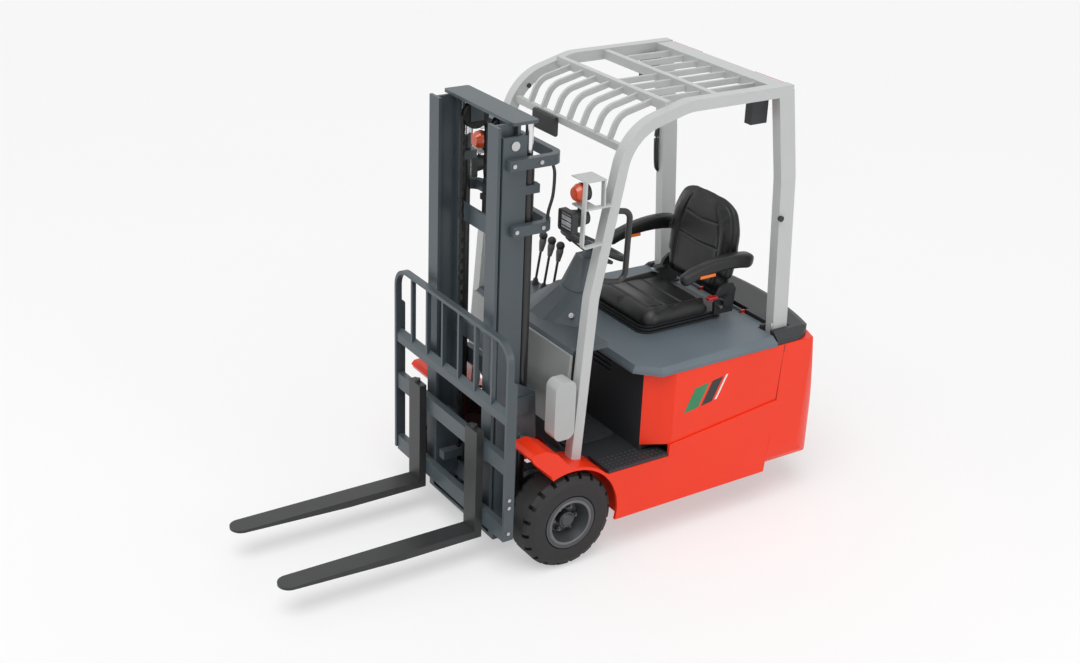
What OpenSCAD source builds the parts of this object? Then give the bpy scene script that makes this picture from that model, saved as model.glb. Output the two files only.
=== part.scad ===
// Three-wheel electric counterbalance fork-lift truck.
// Two driven front wheels, twin steered rear wheels under the counterweight,
// two-stage mast on the front axle, overhead guard, seat on the battery lid.
// Millimetres. Forks point to -Y, the driver's left side is +X, +Z is up.
// Sizes along Y are measured from the front axle and shifted to the middle.

/* [Front wheels] */
// outside diameter of the front tyre
tyre_d = 456; // [400:1:520]
// width of the front tyre
tyre_w = 173; // [140:1:190]
// outside width over the front tyres
truck_w = 1080; // [980:1:1200]
// diameter of the rim's outer flange
rim_d = 252; // [200:1:290]
// diameter of the wheel spindle
spindle_d = 70; // [50:1:90]

/* [Rear wheels] */
// outside diameter of the rear tyre
rear_tyre_d = 374; // [320:1:400]
// width of one rear tyre
rear_tyre_w = 112; // [90:1:120]
// gap between the twin rear tyres
rear_gap = 52; // [44:1:70]
// front axle to steering pivot
wheelbase = 1250; // [1230:1:1300]
// diameter of the rear stub axle
stub_d = 50; // [40:1:60]

/* [Mast] */
// top of the outer rails over the floor
mast_top = 1955; // [1850:1:2050]
// bottom of the outer rails over the floor
mast_bottom = 95; // [80:1:120]
// distance from the mast's side to the axis of the tilt cylinder
tilt_reach = 36; // [34:1:44]
// depth of one rail
rail_depth = 114; // [100:1:124]
// front of the inner rails ahead of the axle
mast_front = 266; // [255:1:290]
// running gap between sliding rails
rail_gap = 6; // [5:0.5:9]
// distance between the webs of the outer and inner rails
rail_step = 44; // [40:1:50]
// width of the inner rail's flange inside its web
flange_in = 32; // [26:1:36]
// lift of the inner rails over their lowest place, as drawn
lift_now = 43; // [43:1:80]
// thickness of the top plate of the inner rails
head_t = 14; // [10:1:24]
// outside diameter of the lift cylinders
lift_d = 52; // [46:1:56]
// diameter of the lift rods
lift_rod_d = 34; // [28:1:38]
// pitch diameter of the chain wheels
sheave_d = 116; // [100:1:124]
// distance of a lift chain from the inner rail's flange
chain_inset = 86; // [78:1:100]

/* [Tilt cylinders] */
// gap between the tilt cylinder and the tyre
tilt_gap = 14; // [10:1:18]
// outside diameter of the tilt cylinder
tilt_d = 54; // [44:1:58]
// diameter of the tilt rod
tilt_rod_d = 30; // [24:1:34]
// diameter of the tilt pins
tilt_pin_d = 25; // [20:1:28]

/* [Forks and carriage] */
// blade length ahead of the fork face
fork_len = 920; // [850:1:1150]
// width of one fork
fork_w = 100; // [80:1:125]
// thickness of one fork
fork_t = 35; // [30:1:45]
// distance between the fork centres
fork_span = 508; // [400:1:640]
// distance of the fork face ahead of the axle
fork_face = 350; // [345:1:370]
// underside of the blades over the floor, as drawn
fork_z = 126; // [115:1:140]
// height of the fork shank
shank_h = 530; // [500:1:560]
// height over the two carriage bars
bars_h = 407; // [400:1:415]
// width of the load backrest
rest_w = 998; // [900:1:1040]
// height of the load backrest over the lower carriage bar
rest_h = 950; // [880:1:1050]
// number of inner bars in the backrest
rest_bars = 6; // [4:1:8]

/* [Body] */
// width of the body over the side skirts
body_w = 1070; // [980:1:1100]
// driver's floor over the ground
floor_z = 430; // [410:1:450]
// top of the battery lid
hood_z = 870; // [850:1:890]
// front edge of the battery lid behind the axle
hood_front = 372; // [360:1:400]
// underside of the side skirts
skirt_z = 165; // [140:1:190]
// radius of the wheel arch
arch_r = 255; // [248:1:270]
// rear end of the counterweight behind the axle
tail_y = 1520; // [1500:1:1600]
// underside of the counterweight
weight_z = 205; // [190:1:240]

/* [Overhead guard] */
// top of the guard over the floor
guard_top = 2055; // [2020:1:2120]
// half width over the guard's side beams
guard_half = 460; // [440:1:480]
// width of the guard's side beams
beam_w = 52; // [44:1:60]
// depth of the guard's side beams
beam_h = 50; // [44:1:60]
// number of bars in the roof
roof_bars = 7; // [5:1:9]

/* [Hidden] */

$fn = 48;
axle_z = tyre_d / 2;
rear_z = rear_tyre_d / 2;
wheel_x = truck_w / 2 - tyre_w / 2;
tyre_in = truck_w / 2 - tyre_w;
tilt_half = tyre_in - tilt_gap - tilt_d / 2;
mast_half = tilt_half - tilt_reach;
skirt_x = body_w / 2;
tip_y = -fork_face - fork_len;
y_mid = (tip_y + tail_y) / 2;
fit = 0.05;

// colours
red = [0.90, 0.16, 0.08];
slate = [0.27, 0.31, 0.34];
dark = [0.12, 0.12, 0.13];
black = [0.05, 0.05, 0.05];
pale = [0.72, 0.73, 0.73];
silver = [0.52, 0.54, 0.53];
blue_grey = [0.40, 0.46, 0.50];
steel = [0.60, 0.60, 0.62];
amber = [1.0, 0.45, 0.05];

module shifted() {
  translate([0, -y_mid, 0]) children();
}

module both() {
  for (s = [0, 1]) mirror([s, 0, 0]) children();
}

// Lays a drawing of the side view, y across and z up, on the plane x = 0.
module side_view() {
  rotate([90, 0, 90]) children();
}

module side_solid(x0, x1) {
  translate([x0, 0, 0]) side_view() linear_extrude(x1 - x0) children();
}

module box(low, high) {
  translate(low) cube(high - low);
}

module across(d, x0, x1, y, z) {
  translate([x0, y, z]) rotate([0, 90, 0]) cylinder(d = d, h = x1 - x0);
}

function heading(v) = atan2(v[1], v[0]);
function swing(t) = t > 180 ? t - 360 : t < -180 ? t + 360 : t;
function turn(p, i) = swing(heading(p[i + 1] - p[i]) - heading(p[i] - p[i - 1]));
function trim(p, i, r) = i == 0 || i == len(p) - 1 ? 0 : r * tan(abs(turn(p, i)) / 2);

// Outline of a strip of depth d along the points p, bent to radius r at each corner.
bend_step = 3;
function dir(a) = [cos(a), sin(a)];
function arc(c, r, a, t) = let (n = ceil(abs(t) / bend_step)) [for (k = [0 : n]) c + r * dir(a + t * k / n)];
function bend_side(h, t, start, r, off) = let (s = sign(t))
  arc(start + s * r * dir(h + 90), r - s * off, h - s * 90, t);
function strip_side(p, r, off) = [for (i = [0 : len(p) - 1])
  let (h = heading(i == 0 ? p[1] - p[0] : p[i] - p[i - 1]))
  each i == 0 || i == len(p) - 1 ? [p[i] + off * dir(h + 90)]
    : bend_side(h, turn(p, i), p[i] - trim(p, i, r) * dir(h), r, off)];
function flip(list) = [for (i = [len(list) - 1 : -1 : 0]) list[i]];

module bent_strip(p, r, d) {
  polygon(concat(strip_side(p, r, d / 2), flip(strip_side(p, r, -d / 2))));
}

// Round bar along the points p in the XY plane; its bends are a little thicker than its straights.
module bent_rod(p, r, d) {
  lap = 1;
  swell = 0.6;
  for (i = [0 : len(p) - 2]) {
    v = p[i + 1] - p[i];
    a = trim(p, i, r) - (i == 0 ? 0 : lap);
    b = trim(p, i + 1, r) - (i == len(p) - 2 ? 0 : lap);
    translate([p[i][0], p[i][1], 0]) rotate(heading(v)) translate([a, 0, 0])
      rotate([0, 90, 0]) cylinder(d = d, h = norm(v) - a - b, $fn = 24);
  }
  for (i = [1 : len(p) - 2]) {
    t = turn(p, i);
    translate([p[i][0], p[i][1], 0]) rotate(heading(p[i] - p[i - 1]))
      translate([-trim(p, i, r), sign(t) * r, 0]) rotate(t > 0 ? -90 : 90 + t)
        rotate_extrude(angle = abs(t)) translate([r, 0]) circle(d = d + swell, $fn = 24);
  }
}

// Rectangle with rounded corners, true arcs.
module round_rect(low, high, r) {
  translate([low[0] + r, low[1]]) square([high[0] - low[0] - 2 * r, high[1] - low[1]]);
  translate([low[0], low[1] + r]) square([high[0] - low[0], high[1] - low[1] - 2 * r]);
  for (x = [low[0] + r, high[0] - r]) for (y = [low[1] + r, high[1] - r]) translate([x, y]) circle(r);
}

// chassis
skin = 15;
step_z = floor_z - 14;
ledge_front = 530;
ledge_low = floor_z + 40;
ledge_high = floor_z + 115;
seam_low = 1118;
seam_y = 1157;
seam_top = 1178;
seam_foot = 150;
wall_y = 430;
wall_half = skirt_x - 95;
bulk_y = 290;
saddle_x = mast_half - 140;
saddle_w = 40;
axle_d = 140;
block_half = 85;
battery_rear = 985;
panel_top = hood_z - 40;
steer_r = norm([rear_z, rear_tyre_w + rear_gap / 2]) + 10;
steer_top = rear_tyre_d + 40;
tilt_base = [230, 330];
tilt_eye = [-120, 570];
tilt_len = norm(tilt_base - tilt_eye);
tilt_angle = heading(tilt_base - tilt_eye);

module ledge_cut(x0, x1, over) {
  side_solid(x0, x1) polygon([[ledge_front - 400, ledge_low - 400 * (ledge_high - ledge_low)
    / (seam_y - ledge_front) + over], [seam_y + 600, ledge_high + 600 * (ledge_high - ledge_low)
    / (seam_y - ledge_front) + over], [seam_y + 600, 0], [ledge_front - 400, 0]]);
}

// Everything ahead of the slanted joint between the side panels and the counterweight.
module ahead_of_seam(x0, x1, gap) {
  side_solid(x0, x1) polygon([[0, seam_foot], [seam_low + gap, seam_foot], [seam_y + gap, ledge_high],
    [seam_top + gap, hood_z], [0, hood_z]]);
}

module skirt_outline() {
  difference() {
    polygon([[80, skirt_z], [seam_low, skirt_z + 8], [seam_y, ledge_high], [ledge_front, ledge_low],
      [ledge_front, step_z], [150, step_z], [80, step_z]]);
    translate([0, axle_z]) circle(arch_r, $fn = 96);
  }
}

module chassis_frame() color(red) shifted() {
  both() {
    side_solid(skirt_x - skin, skirt_x) skirt_outline();
    side_solid(saddle_x - saddle_w / 2, saddle_x + saddle_w / 2)
      polygon([[block_half, axle_z - 60], [bulk_y, skirt_z], [bulk_y, step_z], [block_half, step_z - 60]]);
    tilt_clevis();
  }
  box([-skirt_x + skin, bulk_y, skirt_z], [skirt_x - skin, bulk_y + skin, step_z]);
  box([-skirt_x + skin, bulk_y + skin, skirt_z], [skirt_x - skin, battery_rear + 5, skirt_z + skin]);
  box([-skirt_x + skin, battery_rear + 5, skirt_z], [skirt_x - skin, battery_rear + 5 + skin, step_z]);
}

clevis_gap = 34;
clevis_t = 12;
module tilt_clevis() {
  for (s = [-1, 1]) {
    x0 = tilt_half + s * (clevis_gap + clevis_t) / 2 - clevis_t / 2;
    side_solid(x0, x0 + clevis_t) {
      translate(tilt_base) circle(26);
      polygon([[tilt_base[0], tilt_base[1] + 26], [tilt_base[0], tilt_base[1] - 26],
        [bulk_y + skin, tilt_base[1] - 110], [bulk_y + skin, tilt_base[1] + 26]]);
    }
  }
  across(tilt_pin_d, tilt_half - clevis_gap / 2 - clevis_t, tilt_half + clevis_gap / 2 + clevis_t,
    tilt_base[0], tilt_base[1]);
}

fender_in = tyre_in + 7;
fender_out = truck_w / 2 - 5;
arch_t = 14;
module fenders() color(red) shifted() both()
  side_solid(fender_in, fender_out) difference() {
    union() {
      polygon([[-214, 600], [-199, 617], [-139, 620], [-81, 590], [-15, 515], [16, 498], [16, 380],
        [-60, 380], [-110, 488], [-200, 575]]);
      intersection() {
        translate([0, axle_z]) circle(arch_r + arch_t, $fn = 96);
        translate([0, step_z]) square(arch_r + arch_t);
      }
    }
    translate([0, axle_z]) circle(arch_r, $fn = 96);
  }

module front_axle() color(dark) shifted() {
  across(axle_d, -wheel_x + tyre_w / 2 + 8, wheel_x - tyre_w / 2 - 8, 0, axle_z);
  both() {
    box([saddle_x - saddle_w / 2 - 10, -block_half, axle_z - block_half],
      [saddle_x + saddle_w / 2, block_half, axle_z + block_half]);
    across(spindle_d, wheel_x - tyre_w / 2 - 8, wheel_x + 40, 0, axle_z);
  }
  box([-saddle_x, -60, axle_z - 100], [saddle_x, 60, axle_z + 60]);
}

toe_top = [34, 606];
toe_low = [126, floor_z];
notch_y = 176;
step_front = 200;
module floor_plate() color(dark) shifted() {
  x = tilt_half - 40;
  box([-x, toe_low[0] - 14, step_z], [x, wall_y, floor_z]);
  side_solid(-x, x) polygon([toe_top - [14, 0], toe_top, toe_low, toe_low - [14, 0]]);
  both() {
    box([x, notch_y, step_z], [fender_in - 2, wall_y, floor_z]);
    box([fender_in - 2, step_front, step_z], [skirt_x - 4, wall_y, floor_z]);
    box([skirt_x - 90, wall_y, step_z], [skirt_x - 4, ledge_front - 0.3, floor_z]);
  }
}

module floor_mat() color(black) shifted()
  translate([0, 0, floor_z]) linear_extrude(8) round_rect([-270, 150], [270, wall_y - 12], 25);

deck_front = [57, 976];
deck_rear = [342, 1000];
deck_half = guard_half - beam_w - 8;
module cowl() color(silver) shifted()
  side_solid(-guard_half + beam_w, guard_half - beam_w)
    polygon([[20, 606.3], [38, 870], deck_front - [10, 0], deck_front, deck_front - [-4, 0.3],
      [56, 868], [34, 606.3]]);

// Column cover: a wide skirt on the deck, a narrow neck above it.
skirt_top = 1094;
neck_top = 1234;
column_tilt = 27;
hub_low = 22;
wheel_hub = [432, 1278];
lever_x = [-150, -222, -294];
lever_foot = [319, deck_rear[1]];
module slab(z, points) {
  translate([0, 0, z]) linear_extrude(0.5) polygon(points);
}

module console() color(slate) shifted() {
  side_solid(-deck_half, deck_half) polygon([deck_front + [0, 0.3], deck_front + [14, 14], [250, deck_rear[1] - 6],
    [250, 970], [90, 970], deck_front + [10, 0.3]]);
  side_solid(lever_x[2] - 40, 130) polygon([[240, 970], [240, deck_rear[1] - 6], deck_rear, deck_rear - [0, 34]]);
  hull() {
    slab(deck_rear[1] - 12, [[-55, 128], [55, 128], [110, 155], [200, 212], [205, 250], [-205, 250], [-200, 212], [-110, 155]]);
    slab(skirt_top, [[-42, 280], [42, 280], [92, 300], [92, 384], [-92, 384], [-92, 300]]);
  }
  hull() {
    slab(skirt_top, [[-36, 294], [36, 294], [78, 314], [78, 384], [-78, 384], [-78, 314]]);
    slab(neck_top, [[-27, 357], [27, 357], [48, 370], [48, 430], [-48, 430], [-48, 370]]);
  }
  translate([0, wheel_hub[0], wheel_hub[1]]) rotate([-column_tilt, 0, 0])
    translate([0, 0, -hub_low - 60]) cylinder(d = 56, h = 59.7);
  side_solid(-110, 110) polygon([toe_top + [0.4, 0.4], [58, 850], [78, 972], [240, 990], [240, 960], [160, 640],
    toe_top + 0.6 * (toe_low - toe_top) + [0.4, 0.4]]);
}

module levers() color(black) shifted() for (x = lever_x) translate([x, lever_foot[0], lever_foot[1] + 0.3]) {
  cylinder(d1 = 34, d2 = 20, h = 26);
  translate([0, 0, 12]) rotate([-9, 0, 0]) {
    cylinder(d = 12, h = 215, $fn = 24);
    translate([0, 0, 225]) sphere(d = 40);
  }
}

pedal_gap = 45;
module pedals() color(black) shifted() for (x = [-260, -160])
  translate([x, toe_top[0] + (toe_low[0] - toe_top[0]) / 2, (toe_top[1] + toe_low[1]) / 2])
    rotate([heading(toe_low - toe_top), 0, 0]) {
      translate([-40, -55, pedal_gap]) cube([80, 110, 8]);
      translate([-8, -8, 0.3]) cube([16, 16, pedal_gap]);
    }

module battery_wall() color(black) shifted() difference() {
  box([-wall_half, wall_y, floor_z], [wall_half, wall_y + 14, panel_top]);
  for (z = [panel_top - 110 : 26 : panel_top - 50])
    box([-190, wall_y - 1, z], [190, wall_y + 7, z + 12]);
}

module battery() color(slate) shifted()
  box([-wall_half + 25, wall_y + 14, skirt_z + skin], [wall_half - 25, battery_rear, panel_top - 20]);

panel_x = skirt_x - 8;
module side_panels() color(red) shifted() both() intersection() {
  difference() {
    translate([0, 0, ledge_low - 20]) linear_extrude(panel_top - ledge_low + 20)
      polygon([[panel_x, 545], [panel_x, seam_top], [panel_x - 16, seam_top], [panel_x - 16, 551],
        [wall_half, wall_y + 16], [wall_half, wall_y]]);
    ledge_cut(300, skirt_x + 1, 0.3);
  }
  ahead_of_seam(300, skirt_x + 1, 0);
}

// Plan of the tail: straight sides, corners of radius r, rear edge an arc about the front axle.
function inner(list) = [for (i = [1 : len(list) - 2]) list[i]];
function tail_corner(w, reach, r) = [w - r, sqrt(pow(reach - r, 2) - pow(w - r, 2))];
function tail_plan(w, reach, r, y0) = let (c = tail_corner(w, reach, r), t = heading(c))
  concat([[-w, y0], [w, y0]], arc(c, r, 0, t), inner(arc([0, 0], reach, t, 90 - t)), [[0, reach]],
    inner(arc([0, 0], reach, 90, 90 - t)), arc([-c[0], c[1]], r, 180 - t, t));

corner_r = 170;
weight_lean = 70;
top_reach = tail_y - weight_lean;
jaw_z = 400;
lug_z = 455;
jaw_half = 60;
jaw_deep = 90;
tow_y = tail_y - 50;
module counterweight() color(red) shifted() {
  hinge_lugs();
  weight_block();
}

// The rear leans in towards the top as a cone about the axle, the sides lean in as planes.
module weight_form() intersection() {
  translate([0, 0, weight_z]) linear_extrude(panel_top - weight_z)
    polygon(tail_plan(skirt_x, tail_y, corner_r, battery_rear + 20));
  rotate_extrude($fn = 180) polygon([[600, weight_z], [tail_y - 16, weight_z], [tail_y - 4, weight_z + 30],
    [tail_y, weight_z + 80], [top_reach, panel_top], [600, panel_top]]);
  translate([0, tail_y + 1, 0]) rotate([90, 0, 0]) linear_extrude(600)
    polygon([[-skirt_x + 26, weight_z], [-skirt_x + 5, weight_z + 30], [-skirt_x, weight_z + 80], [-panel_x, panel_top],
      [panel_x, panel_top], [skirt_x, weight_z + 80], [skirt_x - 5, weight_z + 30], [skirt_x - 26, weight_z]]);
}

module weight_block() difference() {
  weight_form();
  both() ahead_of_seam(skirt_x - 31, skirt_x + 1, 0.5);
  translate([0, wheelbase, 0]) cylinder(r = steer_r, h = steer_top, $fn = 96);
  translate([0, wheelbase, 0]) cylinder(d = post_d + 2 * fit, h = steer_top + 110);
  for (z = [[jaw_z, lug_z], [lug_z + 20, lug_z + 90]])
    box([-jaw_half, tail_y - jaw_deep, z[0]], [jaw_half, tail_y + 1, z[1]]);
  translate([0, tow_y, jaw_z - 60]) cylinder(d = pin_d + 0.6, h = 140);
}

pin_d = 30;
module tow_pin() color(steel) shifted() translate([0, tow_y, 0]) {
  translate([0, 0, jaw_z - 55]) cylinder(d = pin_d, h = lug_z + 20.3 - jaw_z + 55);
  translate([0, 0, lug_z + 20.3]) cylinder(d = 46, h = 12);
}

cover_front = 1134;
cover_top = hood_z + 16;
cover_reach = top_reach - 4;
leg_gap = 4;
module rear_cover() color(dark) shifted() difference() {
  intersection() {
    translate([0, 0, panel_top + 0.3]) linear_extrude(100)
      polygon(tail_plan(panel_x - 4, cover_reach, corner_r - 20, cover_front));
    rotate_extrude($fn = 180) polygon([[800, panel_top], [cover_reach, panel_top], [cover_reach - 3, hood_z - 12],
      [cover_reach - 14, hood_z + 6], [cover_reach - 44, cover_top], [800, cover_top]]);
    translate([0, tail_y, 0]) rotate([90, 0, 0]) linear_extrude(500)
      polygon([[-panel_x + 4, panel_top], [-panel_x + 6, hood_z - 14], [-panel_x + 40, cover_top],
        [panel_x - 40, cover_top], [panel_x - 6, hood_z - 14], [panel_x - 4, panel_top]]);
  }
  box([-hood_tail - 5, 0, 0], [hood_tail + 5, hinge_y + 6, cover_top + 1]);
  both() {
    box([knuckle_x[0] - lug_t - 8, 0, 0], [knuckle_x[1] + lug_t + 8, hinge_y + 28, cover_top + 1]);
    box([guard_half - beam_w - leg_gap, 0, 0], [guard_half + leg_gap, rear_foot[1] + leg_gap, cover_top + 1]);
  }
}

// overhead guard
beam_x = guard_half - beam_w / 2;
roof_mid = guard_top - beam_h / 2;
leg_path = [[64, 440], [120, 1245], [262, 1950], [560, roof_mid], [1126, roof_mid]];
rear_path = [[1088, roof_mid], [1150, 1624], [1202, 785]];
rear_foot = [1148, 1250];
rear_leg_d = 84;
front_bar = [262, 1880];
cross_y = [480, 740];
grille_x = 2 * (guard_half - beam_w) / (roof_bars + 1);
bar_w = 14;
bar_d = 26;

// The front leg ends on the line that touches the arch under its middle.
foot_y = 67;
foot_rise = sqrt(pow(arch_r + arch_t + 0.3, 2) - pow(foot_y, 2));
function foot_line(y) = [y, axle_z + foot_rise - (y - foot_y) * foot_y / foot_rise];

module guard_side() side_solid(-beam_w / 2, beam_w / 2) intersection() {
  union() {
    difference() {
      bent_strip(leg_path, 230, beam_h);
      polygon([foot_line(-60), foot_line(260), [260, 300], [-60, 300]]);
    }
    difference() {
      bent_strip(rear_path, 600, rear_leg_d);
      translate([1000, 0]) square([400, panel_top + 0.3]);
    }
    translate([rear_foot[0], panel_top + 0.3]) square([rear_foot[1] - rear_foot[0], 12]);
  }
  translate([-100, 0]) square([1500, guard_top]);
}

module guard() color(pale) shifted() {
  both() translate([beam_x, 0, 0]) guard_side();
  for (y = cross_y)
    box([-guard_half + beam_w - 1, y - 15, guard_top - beam_h + 4], [guard_half - beam_w + 1, y + 15, guard_top - 6]);
  box([-guard_half + beam_w - 1, 1030, guard_top - beam_h + 2], [guard_half - beam_w + 1, 1120, guard_top - 4]);
  box([-guard_half + beam_w - 1, front_bar[0] - 12, front_bar[1] - 20],
    [guard_half - beam_w + 1, front_bar[0] + 12, front_bar[1] + 10]);
  for (i = [1 : roof_bars]) translate([-guard_half + beam_w + i * grille_x, 0, 0]) roof_bar(i > roof_bars / 2);
}

// Bar of the roof, curved at the front; the middle field is open on one side.
module roof_bar(middle) {
  side_solid(-bar_w / 2, bar_w / 2) bent_strip([front_bar, [front_bar[0] + 44, 1985],
    [cross_y[0], guard_top - 30]], 90, bar_d);
  box([-bar_w / 2, cross_y[1], guard_top - 43], [bar_w / 2, 1040, guard_top - 17]);
  if (middle) box([-bar_w / 2, cross_y[0], guard_top - 43], [bar_w / 2, cross_y[1], guard_top - 17]);
}

// Lamp frame of flat bar ahead of the front leg, its shade above, both lamps inside it.
lamp_in = guard_half - 102;
lamp_x = guard_half - 58;
frame_x = [guard_half - 14, guard_half + 10];
frame_t = 8;
shade_z = 1776;
shade_y = [44, 146];
post_foot = [42, 1490];
bar_z = 1656;
shelf_y = 112;
function leg_front(z) = leg_path[1][0] + (z - leg_path[1][1]) * (leg_path[2][0] - leg_path[1][0])
  / (leg_path[2][1] - leg_path[1][1]) - beam_h / 2 - 0.9;
module lamp_brackets() color(pale) shifted() both() {
  side_solid(frame_x[0], frame_x[1]) {
    bent_strip([[shade_y[0] + frame_t / 2, shade_z + 1], post_foot, [leg_front(post_foot[1]), post_foot[1] + 6]], 16, frame_t);
    polygon([[post_foot[0] + 2, bar_z], [leg_front(bar_z), bar_z], [leg_front(bar_z + frame_t), bar_z + frame_t],
      [post_foot[0] + 2, bar_z + frame_t]]);
    polygon([[shade_y[1] - 4, shade_z + 1], [shade_y[1] - 4 - frame_t, shade_z + 1], [shade_y[1] - 8, bar_z + 1],
      [shade_y[1], bar_z + 1]]);
  }
  box([lamp_in + 14, post_foot[0] + 2, bar_z], [frame_x[0] + 1, shelf_y, bar_z + frame_t]);
  box([lamp_in, shade_y[0], shade_z], [frame_x[1], shade_y[1], shade_z + 4]);
}

lamp_z = 1604;
lamp_y = [-8, 22, 98];
lamp_half = 52;
lamp_h = [-50, 42];
bezel = 8;
stem_d = 14;
amber_d = 80;
amber_z = bar_z + frame_t + 10 + amber_d / 2;
amber_y = [30, 72, 96];
module lamp_face(in, r) round_rect([-lamp_half + in, lamp_h[0] + in], [lamp_half - in, lamp_h[1] - in], r);

module head_lamps() color(black) shifted() both() translate([lamp_x, 0, 0]) {
  translate([0, lamp_y[1], lamp_z]) {
    rotate([90, 0, 0]) linear_extrude(lamp_y[1] - lamp_y[0]) difference() {
      lamp_face(0, 12);
      lamp_face(bezel, 8);
    }
    rotate([90, 0, 0]) linear_extrude(12) lamp_face(bezel - 2, 6);
    translate([0, -1, 0]) rotate([-90, 0, 0]) cylinder(d1 = 82, d2 = 62, h = lamp_y[2] - lamp_y[1] + 1);
  }
  translate([0, (lamp_y[1] + lamp_y[2]) / 2, lamp_z + 20]) cylinder(d = stem_d, h = bar_z - lamp_z - 20.3);
  translate([0, amber_y[1] + 0.3, amber_z]) rotate([-90, 0, 0]) cylinder(d = amber_d - 8, h = amber_y[2] - amber_y[1]);
  translate([0, amber_y[1] + 12, bar_z + frame_t + 0.3]) cylinder(d = stem_d, h = 24);
}

module turn_lamps() color(amber) shifted() both() translate([lamp_x, amber_y[1], amber_z]) rotate([90, 0, 0]) {
  cylinder(d = amber_d, h = 22);
  translate([0, 0, 22]) cylinder(d1 = amber_d, d2 = amber_d - 26, h = amber_y[1] - amber_y[0] - 22);
}

module tail_lamps() color(dark) shifted() both()
  box([guard_half - beam_w - 40, 940, guard_top - beam_h - 120], [guard_half - beam_w + 4, 1030, guard_top - beam_h]);

module light_strips() color([0.8, 0.05, 0.05]) shifted() both()
  box([190, 1126, guard_top - 30], [guard_half - beam_w, 1136, guard_top - 8]);

module view_mirror() color(black) shifted() {
  translate([-145, front_bar[0] - 23.3, front_bar[1] - 38]) rotate([0, 90, 0]) translate([0, 0, -88])
    linear_extrude(176) round_rect([-44, -11], [44, 11], 10);
}

module grab_bars() color(black) shifted() {
  both() translate([guard_half - 20, 0, 0]) side_view()
    bent_rod([[223, 1621], [296, 1606], [288, 1290], [160.6, 1316]], 40, 26);
}

module charge_box() color(silver) shifted()
  translate([guard_half - beam_w + 0.3, 0, 0]) side_view()
    linear_extrude(76) round_rect([-70, 620.3], [34, 900], 36);

// lid with the seat
hood_tail = guard_half - beam_w - 24;
hinge_y = 1180;
hinge_z = hood_z + 2;
sheet = 5;
knuckle_d = 18;
knuckle_x = [118, 202];
hinge_pin_d = 10;
lug_t = 10;
lug_gap = 2;
shoulder_y = cover_front - 6;
lid_lip = 14;
lid_bevel = 14;
lid_waist = 26;
lid_flat = 438;
lid_side_y = 464;
// Plan of the lid: front edge, cut corners, sides drawn in by waist towards the rear.
function lid_half(front, side, waist, tail) = [[lid_flat, front], [side, lid_side_y], [side - waist, tail]];
function lid_plan(front, side, waist, tail) = let (h = lid_half(front, side, waist, tail))
  concat(h, flip([for (p = h) [-p[0], p[1]]]));

module lid_form(in) hull() {
  for (z = [panel_top + 0.3 - in, panel_top + lid_lip]) slab(z, lid_plan(hood_front - 4 + in, skirt_x - 4 - in, 0, hinge_y - in));
  slab(hood_z - 0.8 - in, lid_plan(hood_front + 6 + in, skirt_x - 4 - lid_bevel - in, lid_waist, hinge_y - in));
}

module hood() color(blue_grey) shifted() difference() {
  union() {
    difference() {
      lid_form(0);
      difference() {
        lid_form(sheet);
        both() translate([hood_tail - sheet, shoulder_y - sheet, 0]) cube([300, 200, 2000]);
      }
      both() translate([hood_tail, shoulder_y, 0]) cube([300, 200, 2000]);
      both() for (x = [knuckle_x[0] - lug_t - 2 * lug_gap, knuckle_x[1]])
        translate([x, hinge_y - 22, 0]) cube([lug_t + 2 * lug_gap, 30, 2000]);
    }
    both() across(knuckle_d, knuckle_x[0], knuckle_x[1], hinge_y, hinge_z);
  }
  both() across(hinge_pin_d + 2 * fit, knuckle_x[0] - 1, knuckle_x[1] + 1, hinge_y, hinge_z);
}

module hinge_lugs() both() {
  for (x = [knuckle_x[0] - lug_t - lug_gap, knuckle_x[1] + lug_gap]) side_solid(x, x + lug_t)
    polygon([[hinge_y - 9, hinge_z + 8], [hinge_y + 12, hinge_z + 8],
      [hinge_y + 22, panel_top - 1], [hinge_y - 2, panel_top - 1], [hinge_y - 9, hinge_z - 14]]);
  across(hinge_pin_d, knuckle_x[0] - lug_gap - 1, knuckle_x[1] + lug_gap + 1, hinge_y, hinge_z);
}

// seat: bellows, cushion with side bolsters, shield-shaped back, bent armrests
seat_half = 207;
seat_y = [588, 1072];
fold = [[0, 10, 0], [10, 15, 14], [15, 25, 4], [25, 30, 16], [30, 40, 6]];
cushion_z = hood_z + 40;
plate_in = seat_half + 1.5;
plate_t = 17;
module seat_plan(in, r) round_rect([-seat_half + in, seat_y[0] + in], [seat_half - in, seat_y[1] - in], r);

module seat_base() color(black) shifted() {
  for (f = fold) translate([0, 0, hood_z - 0.3 + f[0]]) linear_extrude(f[1] - f[0]) seat_plan(f[2], 60);
  both() {
    box([seat_half - 20, 990, cushion_z - 12], [plate_in + plate_t, 1100, cushion_z - 0.3]);
    side_solid(plate_in, plate_in + plate_t) polygon([[990, cushion_z - 12], [988, cushion_z + 50], [1014, cushion_z + 112],
      [1050, cushion_z + 138], [1088, cushion_z + 136], [1110, cushion_z + 104], [1100, cushion_z - 12]]);
  }
}

module seat_cushion() color(black) shifted() intersection() {
  translate([0, 0, cushion_z]) linear_extrude(120) seat_plan(0, 66);
  union() {
    side_solid(-seat_half, seat_half) polygon([[588, cushion_z], [588, cushion_z + 26], [604, cushion_z + 46], [650, cushion_z + 54],
      [760, cushion_z + 42], [990, cushion_z + 38], [990, cushion_z]]);
    both() side_solid(seat_half - 52, seat_half) polygon([[620, cushion_z + 20], [650, cushion_z + 56], [760, cushion_z + 58],
      [960, cushion_z + 72], [990, cushion_z + 70], [990, cushion_z + 10]]);
  }
}

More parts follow.
